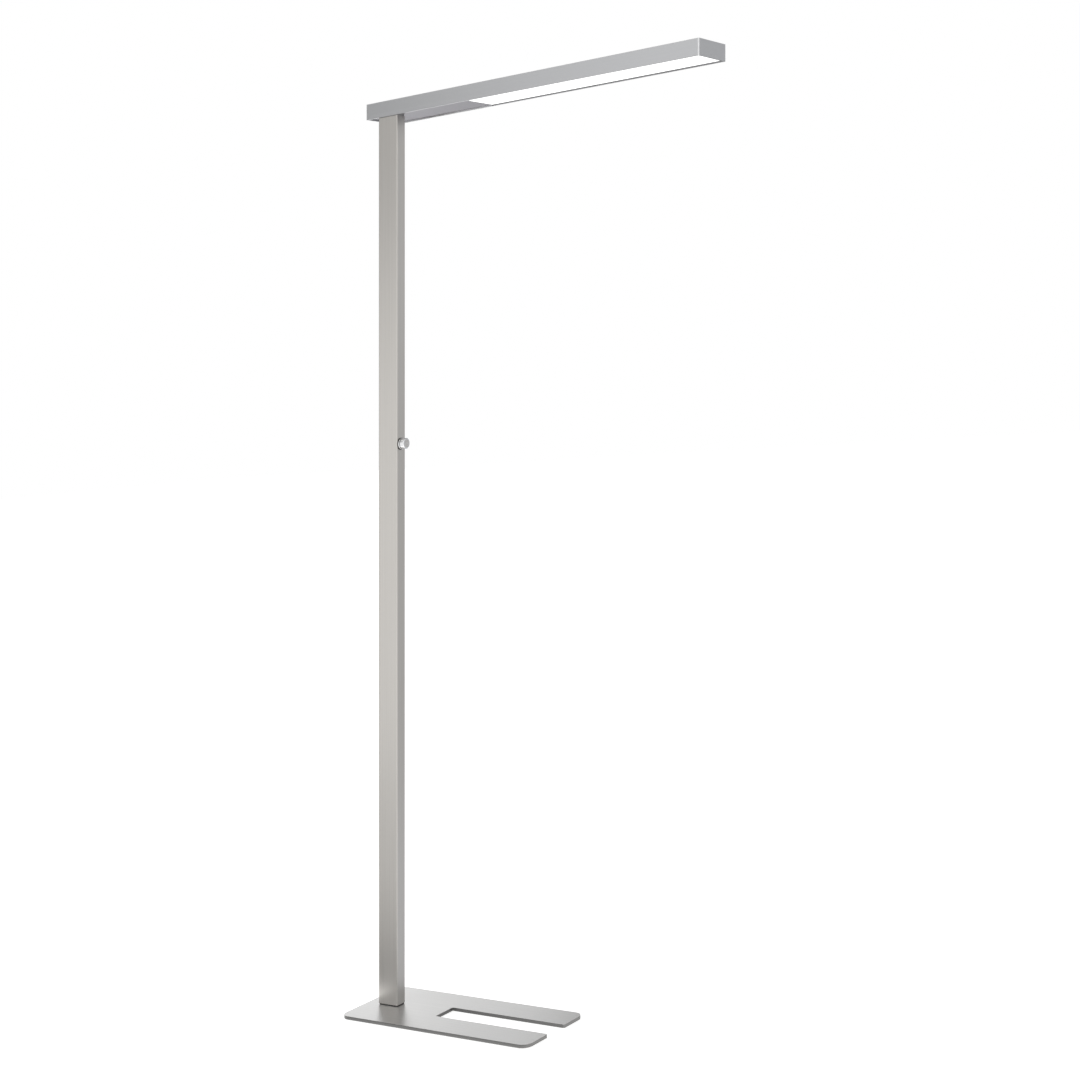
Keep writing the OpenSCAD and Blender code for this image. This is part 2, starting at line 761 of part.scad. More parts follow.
// Section of the head's extrusion, about the middle of its underside
module head_section() {
  difference() {
    translate([0, head_h / 2]) round_rect(head_w, head_h, head_edge_r);
    translate([-inner_w / 2, -over]) square([inner_w, head_h - head_wall + over]);
  }
  ledge_w = head_wall + lip_w;
  for (sy = [-1, 1]) {
    translate([sy * (head_w - ledge_w) / 2, lip_t / 2]) square([ledge_w, lip_t], center = true);
    translate([sy * (head_w - ledge_w) / 2, lip_t + groove_h + rib_t / 2])
      square([ledge_w, rib_t], center = true);
    translate([sy * rail_off, head_h - head_wall - rail_h]) difference() {
      translate([-rail_w / 2, 0]) square([rail_w, rail_h + eps]);
      translate([-rail_screw_d / 2 - screw_fit, -over])
        square([rail_screw_d + 2 * screw_fit, rail_screw_in + 2 * over]);
    }
  }
}

module head_profile() {
  color("darkgray") along_x(body_x0, body_x1) translate([head_yc, head_z0]) head_section();
}

// An end cap that faces +X from x = 0, with the tongue behind it
module end_cap() {
  tongue_w = 2 * rail_off + plate_margin;
  difference() {
    union() {
      translate([0, 0, head_z0]) linear_extrude(head_h) intersection() {
        translate([cap_t / 2 - cap_r, 0]) round_rect(cap_t + 2 * cap_r, head_w, cap_r);
        translate([0, -head_w / 2]) square([cap_t, head_w]);
      }
      box_at([-tongue_l, -tongue_w / 2, rail_z0 - tongue_t], [eps, tongue_w / 2, rail_z0]);
    }
    for (sy = [-1, 1]) translate([-tongue_l / 2, sy * rail_off, rail_z0 - tongue_t - over])
      cylinder(h = tongue_t + 2 * over, d = screw_hole_d);
  }
}

module tip_cap() {
  color("darkgray") translate([body_x1, head_yc, 0]) end_cap();
}

module rear_cap() {
  color("darkgray") translate([body_x0, head_yc, 0]) mirror([1, 0, 0]) end_cap();
}

module end_cap_screws() {
  color("silver") for (x = [body_x0 + tongue_l / 2, body_x1 - tongue_l / 2], y = rail_y)
    rail_screw(x, y, tongue_t);
}

// A cover panel that slides in the head's grooves, cut back round the neck of the top block
module groove_panel(x0, x1, t) {
  difference() {
    box_at([x0, head_yc - panel_w / 2, lip_z1], [x1, head_yc + panel_w / 2, lip_z1 + t]);
    box_at(
      [-neck_w / 2 - slip, -neck_d / 2 - slip, lip_z1 - over],
      [neck_w / 2 + slip, neck_d / 2 + slip, lip_z1 + t + over]
    );
  }
}

module rear_cover() {
  color("gray") groove_panel(body_x0, -slip / 2, cover_t);
}

module driver_cover() {
  color("gray") groove_panel(slip / 2, lit_x0 - slip, cover_t);
}

module diffuser() {
  color("white") groove_panel(lit_x0, body_x1, diffuser_t);
}

module head_plate() {
  color("dimgray") difference() {
    box_at(
      [head_plate_x0, head_yc - head_plate_w / 2, head_plate_z0],
      [head_plate_x1, head_yc + head_plate_w / 2, rail_z0]
    );
    for (sx = [-1, 1]) translate([sx * bolt_off, 0, rail_z0 - bolt_sink]) mirror([0, 0, 1])
      flat_bolt_hole(plate_t);
    for (x = plate_screw_x, y = rail_y) translate([x, y, head_plate_z0 - over])
      cylinder(h = plate_t + 2 * over, d = screw_hole_d);
  }
}

module head_plate_bolts() {
  color("silver") for (sx = [-1, 1]) translate([sx * bolt_off, 0, rail_z0 - bolt_sink]) mirror([0, 0, 1])
    flat_bolt(plate_t + bolt_in - bolt_sink);
}

module head_plate_screws() {
  color("silver") for (x = plate_screw_x, y = rail_y) rail_screw(x, y, plate_t);
}

module led_driver() {
  color("white") difference() {
    union() {
      box_at([driver_x0, driver_y0, driver_z0], [driver_x1, driver_y1, rail_z0]);
      box_at(
        [driver_x0 - flange_l, driver_y1 - flange_w, rail_z0 - flange_t],
        [driver_x1 + flange_l, driver_y1, rail_z0]
      );
    }
    for (x = driver_screw_x) translate([x, rail_y[1], rail_z0 - flange_t - over])
      cylinder(h = flange_t + 2 * over, d = screw_hole_d);
  }
}

module driver_screws() {
  color("silver") for (x = driver_screw_x) rail_screw(x, rail_y[1], flange_t);
}

module head_terminals() {
  color("ivory") difference() {
    translate([head_term_x0, head_term_y0, rail_z0 - head_term[2]]) cube(head_term);
    translate([head_term_x0 + head_term[0] / 2, rail_y[0], rail_z0 - head_term[2] - over]) {
      cylinder(h = head_term[2] + 2 * over, d = screw_hole_d);
      cylinder(h = over + head_term[2] - head_term_floor, d = pan_d + 2 * slip);
    }
  }
}

module head_terminal_screw() {
  color("silver") rail_screw(head_term_x0 + head_term[0] / 2, rail_y[0], head_term_floor);
}

module led_tray() {
  color("lightgray") difference() {
    box_at([tray_x0, head_yc - tray_w / 2, tray_z0], [tray_x1, head_yc + tray_w / 2, rail_z0]);
    for (x = tray_screw_x, y = rail_y) translate([x, y, tray_z0 - over])
      cylinder(h = tray_t + 2 * over, d = screw_hole_d);
    for (p = board_screw_places()) translate([p[0], p[1], tray_z0 - over])
      cylinder(h = tray_t + 2 * over, d = board_screw_d + 2 * screw_fit);
  }
}

module tray_screws() {
  color("silver") for (x = tray_screw_x, y = rail_y) rail_screw(x, y, tray_t);
}

// Two screws on the middle line of each light board
function board_screw_places() = [
  for (i = [0 : boards - 1], x = [board_screw_x, board_l - board_screw_x])
    [board_x0 + i * board_pitch + x, head_yc]
];

module led_boards() {
  color("white") difference() {
    for (i = [0 : boards - 1]) translate([board_x0 + i * board_pitch, head_yc - board_w / 2, board_z0])
      cube([board_l, board_w, board_t]);
    for (p = board_screw_places()) translate([p[0], p[1], board_z0 - over])
      cylinder(h = board_t + 2 * over, d = board_screw_d + 2 * screw_fit);
  }
}

module board_screws() {
  color("silver") for (p = board_screw_places()) translate([p[0], p[1], board_z0])
    pan_screw(board_screw_d, board_pan_d, board_pan_h, board_t + tray_t + part_gap);
}

// Chips in rows between the two screws of each board
module led_chips() {
  step_x = (board_l - 2 * chip_margin_x) / (chips_x - 1);
  step_y = (board_w - 2 * chip_margin_y) / (chips_y - 1);
  color("khaki") for (i = [0 : boards - 1], j = [0 : chips_x - 1], k = [0 : chips_y - 1])
    translate([
      board_x0 + i * board_pitch + chip_margin_x + j * step_x - chip[0] / 2,
      head_yc - board_w / 2 + chip_margin_y + k * step_y - chip[1] / 2,
      board_z0 - chip[2]
    ]) cube(chip);
}

// A plug where the lead reaches the first board, and bridges from board to board
module board_links() {
  link = [board_gap + 8, 6, 3];
  link_y = head_yc + board_w / 4;
  color("ivory") {
    translate([board_x0 + part_gap, led_run_y - lead_plug[1] / 2, board_z0 - lead_plug[2]]) cube(lead_plug);
    for (i = [1 : 1 : boards - 1])
      translate([board_x0 + i * board_pitch - board_gap / 2 - link[0] / 2, link_y, board_z0 - link[2]])
        cube(link);
  }
}

// White frame that closes the light chamber between the boards and the diffuser
module reflector() {
  color("white") difference() {
    box_at(
      [reflector_x0, head_yc - reflector_w / 2, reflector_z0],
      [reflector_x1, head_yc + reflector_w / 2, reflector_z1]
    );
    box_at(
      [reflector_x0 + reflector_wall, head_yc - reflector_w / 2 + reflector_wall, reflector_z0 - over],
      [reflector_x1 - reflector_wall, head_yc + reflector_w / 2 - reflector_wall, reflector_z1 + over]
    );
    translate([reflector_x0 - over, led_run_y, led_run_z]) rotate([0, 90, 0])
      cylinder(h = reflector_wall + 2 * over, d = lead_d + 2 * lead_play);
  }
}

module led_lead() {
  lead_x0 = driver_x1 + slip;
  color("gray") translate([lead_x0, led_run_y, led_run_z]) rotate([0, 90, 0])
    cylinder(h = board_x0 + part_gap - slip - lead_x0, d = lead_d);
}

base_plate();
base_pads();
foot_spacer();
foot_block();
base_screws();
post_tube();
post_grub_screws();
inlet_bushing();
inlet_terminals();
inlet_terminal_screw();
earth_screw();
mains_lead();
top_block();
top_spacer();
encoder_body();
encoder_base();
contact_dome();
switch_plunger();
encoder_shaft();
bushing_nut();
dimmer_gasket();
dimmer_bezel();
dimmer_knob();
knob_face();
knob_set_screw();
dimmer_board();
dimmer_plug();
control_lead();
head_profile();
tip_cap();
rear_cap();
end_cap_screws();
rear_cover();
driver_cover();
diffuser();
head_plate();
head_plate_bolts();
head_plate_screws();
led_driver();
driver_screws();
head_terminals();
head_terminal_screw();
led_tray();
tray_screws();
led_boards();
board_screws();
led_chips();
board_links();
reflector();
led_lead();
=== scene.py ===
"""Office floor lamp: a long flat head on a rectangular post over a slotted steel foot.

Every length here is in metres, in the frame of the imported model: X runs along the head to its tip,
Y from the near long side to the far one, Z is up, and the origin is on the floor under the post.
"""
import json
import math

import bmesh
import bpy
from mathutils import Matrix, Vector

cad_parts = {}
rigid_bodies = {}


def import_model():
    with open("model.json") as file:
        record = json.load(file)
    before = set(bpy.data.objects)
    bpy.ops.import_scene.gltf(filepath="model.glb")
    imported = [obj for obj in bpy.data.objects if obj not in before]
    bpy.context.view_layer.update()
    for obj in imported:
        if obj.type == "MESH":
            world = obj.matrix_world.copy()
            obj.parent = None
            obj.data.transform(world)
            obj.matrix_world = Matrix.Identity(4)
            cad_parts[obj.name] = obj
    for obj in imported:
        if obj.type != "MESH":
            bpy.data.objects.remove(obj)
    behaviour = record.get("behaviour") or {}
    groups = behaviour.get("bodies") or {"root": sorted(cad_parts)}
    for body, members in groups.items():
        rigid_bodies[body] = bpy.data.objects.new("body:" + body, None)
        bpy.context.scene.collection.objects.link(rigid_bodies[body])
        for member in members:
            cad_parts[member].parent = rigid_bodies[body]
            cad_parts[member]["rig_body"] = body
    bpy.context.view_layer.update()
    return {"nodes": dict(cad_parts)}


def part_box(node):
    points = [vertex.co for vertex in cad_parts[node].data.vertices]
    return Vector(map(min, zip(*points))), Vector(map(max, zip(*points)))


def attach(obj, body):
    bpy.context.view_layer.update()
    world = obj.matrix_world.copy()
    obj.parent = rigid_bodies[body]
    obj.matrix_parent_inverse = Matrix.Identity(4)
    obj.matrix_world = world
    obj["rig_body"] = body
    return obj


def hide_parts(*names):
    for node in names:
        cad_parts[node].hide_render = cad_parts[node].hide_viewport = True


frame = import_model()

# ---------------------------------------------------------------- sizes and tones

MM = 0.001
MERGE = 0.002 * MM
FLAT_ANGLE = math.radians(0.4)
SHARP_ANGLE = math.radians(35)
ARRIS_STEPS = 3

# How a face's normal is judged: along an axis, upright, steep, or too near a brush line's direction
ON_AXIS = 0.999
UPRIGHT = 0.1
STEEP = 0.5
NEARLY_ALONG = 0.2

# How far each visible piece's sharp edges are broken
PLATE_ARRIS = 0.7 * MM
POST_ARRIS = 0.6 * MM
HEAD_ARRIS = 0.25 * MM
CAP_ARRIS = 0.6 * MM
COVER_ARRIS = 0.3 * MM
PLASTIC_ARRIS = 0.25 * MM
CHROME_ARRIS = 0.45 * MM
PAD_ARRIS = 0.3 * MM

# The photograph's camera: it stands at about chest height, and its rows fall away to the left
CAMERA_AT = Vector((2.50904, -3.06694, 1.24670))
CAMERA_YAW = math.radians(34.6837)
ROW_TILT = math.radians(-4.095)
AXIS_DROP = 0.06665
SENSOR = 36.0
FOCAL = 61.323

# Colours of the finishes, as linear red, green and blue
STEEL_TOP = (0.650, 0.648, 0.643)
STEEL_TOP_DARK = (0.555, 0.553, 0.549)
# Painted shade: the foot plate's upright walls take this tone, far darker than its top
STEEL_WALL_SHADE = (0.215, 0.213, 0.209)
# Edge wear with a painted highlight on the foot plate's broken edges
STEEL_ARRIS = (0.640, 0.638, 0.632)
POST_LIGHT = (0.680, 0.658, 0.626)
POST_DARK = (0.610, 0.588, 0.556)
# Edge wear with a painted highlight on the post's broken ends, lighter than its sides
POST_ARRIS_TONE = (0.780, 0.760, 0.732)
HEAD_LIGHT = (0.585, 0.590, 0.600)
HEAD_DARK = (0.545, 0.550, 0.562)
# Painted highlight: the head's rounded and bevelled edges take this tone, far lighter than its sides
HEAD_ARRIS_TONE = (0.860, 0.862, 0.868)
# Painted shade on the head's inner lip walls along the diffuser
LIP_SHADE = (0.150, 0.150, 0.153)
# Painted shade: the covers under the head take these dark tones for the shade there
COVER_LIGHT = (0.350, 0.344, 0.367)
COVER_DARK = (0.324, 0.318, 0.342)
CHROME = (0.860, 0.862, 0.870)
OPAL = (0.93, 0.93, 0.92)
OPAL_GLOW = (1.0, 1.0, 0.995)
OPAL_GLOW_LOW = (0.975, 0.975, 0.97)
# Painted shade: the knob's face takes this tone, darker than the chrome round it
SHADED_SPUN_CHROME = (0.740, 0.726, 0.705)
BLACK_JOINT = (0.014, 0.014, 0.014)
GREY_JOINT = (0.400, 0.400, 0.400)
WHITE = (1.0, 1.0, 1.0)
COOL = (0.965, 0.985, 1.030)

# Light: 1 is the level at which a colour renders as it is written
ROOM_LEVEL = 0.62
FLOOR_TONE = (0.82, 0.82, 0.82)
FLOOR_GLOW = 0.62
FLOOR_REACH = 40.0
OPAL_STRENGTH = 1.15
KEY_POWER = 60.0
KEY_SIZE = 2.4
KEY_AT = Vector((-1.2, -2.6, 3.4))
KEY_AIM = Vector((0.2, 0.0, 0.8))

# Where the paper screens stand, and how finely their tones are laid down
FRONT_Y = -0.9
BACK_Y = 1.6
LEFT_X = -1.3
RIGHT_X = 1.55
SCREEN_TOP = 2.6
RIGHT_TOP = 2.9
CEILING = 2.9
FLOOR_LIFT = 0.5 * MM
SCREEN_CELLS = 24

# The brushing: shares of the fine and broad lines, the clouding over them, and their relief
FINE_SHARE = 0.65
BROAD_SHARE = 0.35
BROAD_SCALE = 0.21
CLOUD_SHARE = 0.25
BRUSH_RELIEF = 0.12
BRUSH_DEPTH = 0.05 * MM

# How bright the painted highlight on the head's level edges is, where its upright ones are 1
LEVEL_EDGE_HIGHLIGHT = 0.2


# ---------------------------------------------------------------- node helpers

def node_material(name):
    """A new material with one Principled shader, and the shader."""
    material = bpy.data.materials.new(name)
    material.use_nodes = True
    return material, material.node_tree.nodes["Principled BSDF"]


def add_node(tree, kind, **settings):
    """One node of that kind, with those properties set."""
    made = tree.nodes.new(kind)
    for key, value in settings.items():
        setattr(made, key, value)
    return made


def join(tree, source, target):
    tree.links.new(source, target)


def colour(rgb):
    return (rgb[0], rgb[1], rgb[2], 1.0)


def new_group(name, inputs, outputs):
    """An empty shader group with those sockets, given as (name, kind, value), and its two end nodes."""
    group = bpy.data.node_groups.new(name, "ShaderNodeTree")
    for label, kind, value in inputs:
        socket = group.interface.new_socket(name=label, in_out="INPUT", socket_type=kind)
        socket.default_value = value
    for label, kind in outputs:
        group.interface.new_socket(name=label, in_out="OUTPUT", socket_type=kind)
    return group, group.nodes.new("NodeGroupInput"), group.nodes.new("NodeGroupOutput")


def math_node(tree, operation, first, second=None, clamp=False):
    """A Math node whose operands are sockets or plain numbers. Returns its output."""
    made = add_node(tree, "ShaderNodeMath", operation=operation, use_clamp=clamp)
    for slot, value in enumerate((first, second)):
        if isinstance(value, bpy.types.NodeSocket):
            join(tree, value, made.inputs[slot])
        elif value is not None:
            made.inputs[slot].default_value = value
    return made.outputs[0]


def spread(tree, value, low, high, to_low, to_high):
    """value carried from low..high to to_low..to_high, and held at both ends."""
    made = add_node(tree, "ShaderNodeMapRange", clamp=True)
    join(tree, value, made.inputs["Value"])
    made.inputs["From Min"].default_value = low
    made.inputs["From Max"].default_value = high
    made.inputs["To Min"].default_value = to_low
    made.inputs["To Max"].default_value = to_high
    return made.outputs["Result"]


def noise(tree, vector, scale, detail, roughness=0.5):
    made = add_node(tree, "ShaderNodeTexNoise")
    join(tree, vector, made.inputs["Vector"])
    made.inputs["Scale"].default_value = scale
    made.inputs["Detail"].default_value = detail
    made.inputs["Roughness"].default_value = roughness
    return made.outputs["Fac"]


def mix_colours(tree, factor, low, high):
    """A colour between low and high, which are colours or sockets."""
    made = add_node(tree, "ShaderNodeMix", data_type="RGBA")
    join(tree, factor, made.inputs["Factor"])
    for label, value in (("A", low), ("B", high)):
        socket = next(s for s in made.inputs if s.name == label and s.type == "RGBA")
        if isinstance(value, bpy.types.NodeSocket):
            join(tree, value, socket)
        else:
            socket.default_value = colour(value)
    return next(s for s in made.outputs if s.type == "RGBA")


def place_group(material, group, **values):
    """group inside material, with its named inputs set."""
    made = material.node_tree.nodes.new("ShaderNodeGroup")
    made.node_tree = group
    for label, value in values.items():
        made.inputs[label.replace("_", " ")].default_value = value
    return made


# ---------------------------------------------------------------- shared effects

def brushing_group():
    """Fine parallel brush lines, with the slow clouding of the lacquer over them."""
    group, start, end = new_group(
        "brushing",
        [("Lines", "NodeSocketVector", (8.0, 900.0, 900.0)), ("Cloud Scale", "NodeSocketFloat", 5.0)],
        [("Lines", "NodeSocketFloat"), ("Cloud", "NodeSocketFloat"), ("Height", "NodeSocketFloat")],
    )
    place = group.nodes.new("ShaderNodeTexCoord").outputs["Object"]
    stretch = add_node(group, "ShaderNodeVectorMath", operation="MULTIPLY")
    join(group, place, stretch.inputs[0])
    join(group, start.outputs["Lines"], stretch.inputs[1])
    fine = noise(group, stretch.outputs[0], 1.0, 3.0, 0.62)
    broad = noise(group, stretch.outputs[0], BROAD_SCALE, 2.0, 0.5)
    both = math_node(
        group, "ADD",
        math_node(group, "MULTIPLY", fine, FINE_SHARE),
        math_node(group, "MULTIPLY", broad, BROAD_SHARE),
    )
    cloud = add_node(group, "ShaderNodeTexNoise")
    join(group, place, cloud.inputs["Vector"])
    join(group, start.outputs["Cloud Scale"], cloud.inputs["Scale"])
    cloud.inputs["Detail"].default_value = 2.0
    join(group, spread(group, both, 0.32, 0.68, 0.0, 1.0), end.inputs["Lines"])
    join(group, spread(group, cloud.outputs["Fac"], 0.3, 0.7, 0.0, 1.0), end.inputs["Cloud"])
    join(group, fine, end.inputs["Height"])
    return group


def arris_wear_and_highlight_group():
    """Where a broken edge is painted bright, as edge wear with a painted highlight: all along it, a little
    uneven.
    """
    group, start, end = new_group(
        "arris_wear_and_highlight",
        [("Unevenness", "NodeSocketFloat", 160.0)],
        [("Mask", "NodeSocketFloat")],
    )
    edge = add_node(group, "ShaderNodeAttribute", attribute_name="arris")
    place = group.nodes.new("ShaderNodeTexCoord").outputs["Object"]
    patches = add_node(group, "ShaderNodeTexNoise")
    join(group, place, patches.inputs["Vector"])
    join(group, start.outputs["Unevenness"], patches.inputs["Scale"])
    uneven = spread(group, patches.outputs["Fac"], 0.35, 0.6, 0.7, 1.0)
    join(group, math_node(group, "MULTIPLY", edge.outputs["Fac"], uneven), end.inputs["Mask"])
    return group


def wall_shade_group():
    """Upright walls, told by the way they face: the mask for the painted shade on them."""
    group, start, end = new_group("painted_wall_shade", [], [("Mask", "NodeSocketFloat")])
    facing = group.nodes.new("ShaderNodeTexCoord").outputs["Normal"]
    parts = group.nodes.new("ShaderNodeSeparateXYZ")
    join(group, facing, parts.inputs[0])
    level = math_node(group, "ABSOLUTE", parts.outputs["Z"])
    join(group, spread(group, level, 0.25, 0.6, 1.0, 0.0), end.inputs["Mask"])
    return group


def shade_group():
    """The inner walls of the head's lips: painted shade along the diffuser, from From X on, and a painted
    highlight before it.
    """
    group, start, end = new_group(
        "lip_shade",
        [("From X", "NodeSocketFloat", 0.0)],
        [("Mask", "NodeSocketFloat"), ("Painted Highlight", "NodeSocketFloat")],
    )
    inside = add_node(group, "ShaderNodeAttribute", attribute_name="inner_wall")
    parts = group.nodes.new("ShaderNodeSeparateXYZ")
    join(group, group.nodes.new("ShaderNodeTexCoord").outputs["Object"], parts.inputs[0])
    lit = math_node(group, "GREATER_THAN", parts.outputs["X"], start.outputs["From X"])
    shaded = math_node(group, "MULTIPLY", inside.outputs["Fac"], lit)
    join(group, shaded, end.inputs["Mask"])
    join(group, math_node(group, "SUBTRACT", inside.outputs["Fac"], shaded), end.inputs["Painted Highlight"])
    return group


def moulding_group():
    """The faint orange peel and flow tone of moulded plastic, rubber, lacquer or a dull casting."""
    group, start, end = new_group(
        "moulding",
        [("Grain Scale", "NodeSocketFloat", 2500.0), ("Tone Scale", "NodeSocketFloat", 60.0)],
        [("Tone", "NodeSocketFloat"), ("Height", "NodeSocketFloat")],
    )
    place = group.nodes.new("ShaderNodeTexCoord").outputs["Object"]
    for label, source, detail in (("Height", "Grain Scale", 1.0), ("Tone", "Tone Scale", 3.0)):
        patches = add_node(group, "ShaderNodeTexNoise")
        join(group, place, patches.inputs["Vector"])
        join(group, start.outputs[source], patches.inputs["Scale"])
        patches.inputs["Detail"].default_value = detail
        join(group, spread(group, patches.outputs["Fac"], 0.3, 0.7, 0.0, 1.0), end.inputs[label])
    return group


BRUSHING = brushing_group()
ARRIS_WEAR_AND_HIGHLIGHT = arris_wear_and_highlight_group()
PAINTED_WALL_SHADE = wall_shade_group()
LIP_WALLS = shade_group()
MOULDING = moulding_group()


# ---------------------------------------------------------------- finishes

def bump(material, shader, height, strength, distance):
    made = add_node(material.node_tree, "ShaderNodeBump")
    made.inputs["Strength"].default_value = strength
    made.inputs["Distance"].default_value = distance
    join(material.node_tree, height, made.inputs["Height"])
    join(material.node_tree, made.outputs["Normal"], shader.inputs["Normal"])


def brushed_metal(
    name, light, dark, arris, lines, rough, spread_of=0.05, grain=0.0, walls=None, inner=None
):
    """Brushed metal. lines scales its brush lines along X, Y and Z, and grain is its anisotropy."""
    material, shader = node_material(name)
    tree = material.node_tree
    brush = place_group(material, BRUSHING, Lines=lines)
    wear_and_highlight = place_group(material, ARRIS_WEAR_AND_HIGHLIGHT)
    tone = mix_colours(tree, brush.outputs["Lines"], dark, light)
    cloud = math_node(tree, "MULTIPLY", brush.outputs["Cloud"], CLOUD_SHARE)
    clouded = mix_colours(tree, cloud, tone, dark)
    # Painted shade: upright walls take a much darker tone than the top.
    if walls:
        wall_shade = place_group(material, PAINTED_WALL_SHADE)
        clouded = mix_colours(tree, wall_shade.outputs["Mask"], clouded, walls)
    # Inner lip walls: painted shade along the diffuser, and the bright arris tone as a painted highlight
    # before it.
    if inner:
        shaded = place_group(material, LIP_WALLS, From_X=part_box("diffuser")[0][0])
        clouded = mix_colours(tree, shaded.outputs["Mask"], clouded, inner)
        clouded = mix_colours(tree, shaded.outputs["Painted Highlight"], clouded, arris)
    # Broken edges take the arris tone: edge wear with a painted highlight.
    worn_and_highlighted = mix_colours(tree, wear_and_highlight.outputs["Mask"], clouded, arris)
    join(tree, worn_and_highlighted, shader.inputs["Base Color"])
    join(
        tree,
        spread(tree, brush.outputs["Lines"], 0.0, 1.0, rough - spread_of, rough + spread_of),
        shader.inputs["Roughness"],
    )
    shader.inputs["Metallic"].default_value = 1.0
    if grain:
        tangent = add_node(tree, "ShaderNodeTangent", direction_type="UV_MAP", uv_map="brushing")
        join(tree, tangent.outputs["Tangent"], shader.inputs["Tangent"])
        shader.inputs["Anisotropic"].default_value = grain
    bump(material, shader, brush.outputs["Height"], BRUSH_RELIEF, BRUSH_DEPTH)
    return material


def plain_metal(name, tone, rough, darker=0.86, strength=0.1):
    """Machined, plated or cast metal, with a slight tarnish and a fine grain."""
    material, shader = node_material(name)
    tree = material.node_tree
    grain = place_group(material, MOULDING, Grain_Scale=1400.0, Tone_Scale=90.0)
    dull = tuple(part * darker for part in tone)
    join(tree, mix_colours(tree, grain.outputs["Tone"], dull, tone), shader.inputs["Base Color"])
    join(
        tree,
        spread(tree, grain.outputs["Tone"], 0.0, 1.0, rough + 0.05, rough - 0.03),
        shader.inputs["Roughness"],
    )
    shader.inputs["Metallic"].default_value = 1.0
    bump(material, shader, grain.outputs["Height"], strength, 0.03 * MM)
    return material


def spun_metal(name, tone, rough, grain):
    """Metal turned on a lathe: fine rings round an axis along X, which draw reflections out."""
    material, shader = node_material(name)
    tree = material.node_tree
    low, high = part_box("knob_face")
    middle = tuple((low[axis] + high[axis]) / 2 for axis in range(3))
    outwards = add_node(tree, "ShaderNodeVectorMath", operation="SUBTRACT")
    join(tree, tree.nodes.new("ShaderNodeTexCoord").outputs["Object"], outwards.inputs[0])
    outwards.inputs[1].default_value = middle
    ring = add_node(tree, "ShaderNodeVectorMath", operation="CROSS_PRODUCT")
    join(tree, outwards.outputs[0], ring.inputs[0])
    ring.inputs[1].default_value = (1.0, 0.0, 0.0)
    turned = add_node(
        tree, "ShaderNodeVectorTransform",
        vector_type="VECTOR", convert_from="OBJECT", convert_to="WORLD",
    )
    join(tree, ring.outputs[0], turned.inputs[0])
    along = add_node(tree, "ShaderNodeVectorMath", operation="NORMALIZE")
    join(tree, turned.outputs[0], along.inputs[0])
    join(tree, along.outputs[0], shader.inputs["Tangent"])
    shader.inputs["Anisotropic"].default_value = grain
    reach = add_node(tree, "ShaderNodeVectorMath", operation="LENGTH")
    join(tree, outwards.outputs[0], reach.inputs[0])
    rings = add_node(tree, "ShaderNodeTexNoise", noise_dimensions="1D")
    join(tree, reach.outputs["Value"], rings.inputs["W"])
    rings.inputs["Scale"].default_value = 4000.0
    dull = tuple(part * 0.94 for part in tone)
    join(tree, mix_colours(tree, rings.outputs["Fac"], dull, tone), shader.inputs["Base Color"])
    join(
        tree,
        spread(tree, rings.outputs["Fac"], 0.3, 0.7, rough - 0.03, rough + 0.03),
        shader.inputs["Roughness"],
    )
    shader.inputs["Metallic"].default_value = 1.0
    return material


def plastic(name, tone, rough, darker=0.88, strength=0.15):
    """Moulded plastic, rubber, lacquer or board, with its faint peel."""
    material, shader = node_material(name)
    tree = material.node_tree
    grain = place_group(material, MOULDING)
    deep = tuple(part * darker for part in tone)
    join(tree, mix_colours(tree, grain.outputs["Tone"], deep, tone), shader.inputs["Base Color"])
    join(
        tree,
        spread(tree, grain.outputs["Tone"], 0.0, 1.0, rough - 0.04, rough + 0.04),
        shader.inputs["Roughness"],
    )
    bump(material, shader, grain.outputs["Height"], strength, 0.02 * MM)
    return material


def opal_diffuser():
    """The lit opal sheet: white, satin and a trace uneven."""
    material, shader = node_material("opal diffuser")
    tree = material.node_tree
    grain = place_group(material, MOULDING, Grain_Scale=900.0, Tone_Scale=18.0)
    join(
        tree,
        mix_colours(tree, grain.outputs["Tone"], tuple(0.97 * part for part in OPAL), OPAL),
        shader.inputs["Base Color"],
    )
    join(
        tree,
        mix_colours(tree, grain.outputs["Tone"], OPAL_GLOW_LOW, OPAL_GLOW),
        shader.inputs["Emission Color"],
    )
    join(tree, spread(tree, grain.outputs["Tone"], 0.0, 1.0, 0.48, 0.56), shader.inputs["Roughness"])
    shader.inputs["Emission Strength"].default_value = OPAL_STRENGTH
    bump(material, shader, grain.outputs["Height"], 0.08, 0.02 * MM)
    return material


def steel_of_the_foot():
    return brushed_metal(
        "brushed foot steel", STEEL_TOP, STEEL_TOP_DARK, STEEL_ARRIS, (6.0, 1100.0, 1100.0), 0.37,
        spread_of=0.03, grain=0.6, walls=STEEL_WALL_SHADE,
    )


def lacquered_post():
    return brushed_metal(
        "lacquered post", POST_LIGHT, POST_DARK, POST_ARRIS_TONE, (1300.0, 1300.0, 5.0), 0.34, grain=0.35
    )


def anodised_head():
    return brushed_metal(
        "anodised head", HEAD_LIGHT, HEAD_DARK, HEAD_ARRIS_TONE, (7.0, 1500.0, 1500.0), 0.40, grain=0.3,
        inner=LIP_SHADE,
    )


def cover_in_painted_shade():
    # The dark cover tones paint the shade under the head.
    return brushed_metal(
        "lacquered cover in painted shade", COVER_LIGHT, COVER_DARK, COVER_LIGHT, (9.0, 1200.0, 1200.0), 0.46
    )


def polished_chrome():
    return plain_metal("polished chrome", CHROME, 0.09, darker=0.97, strength=0.02)


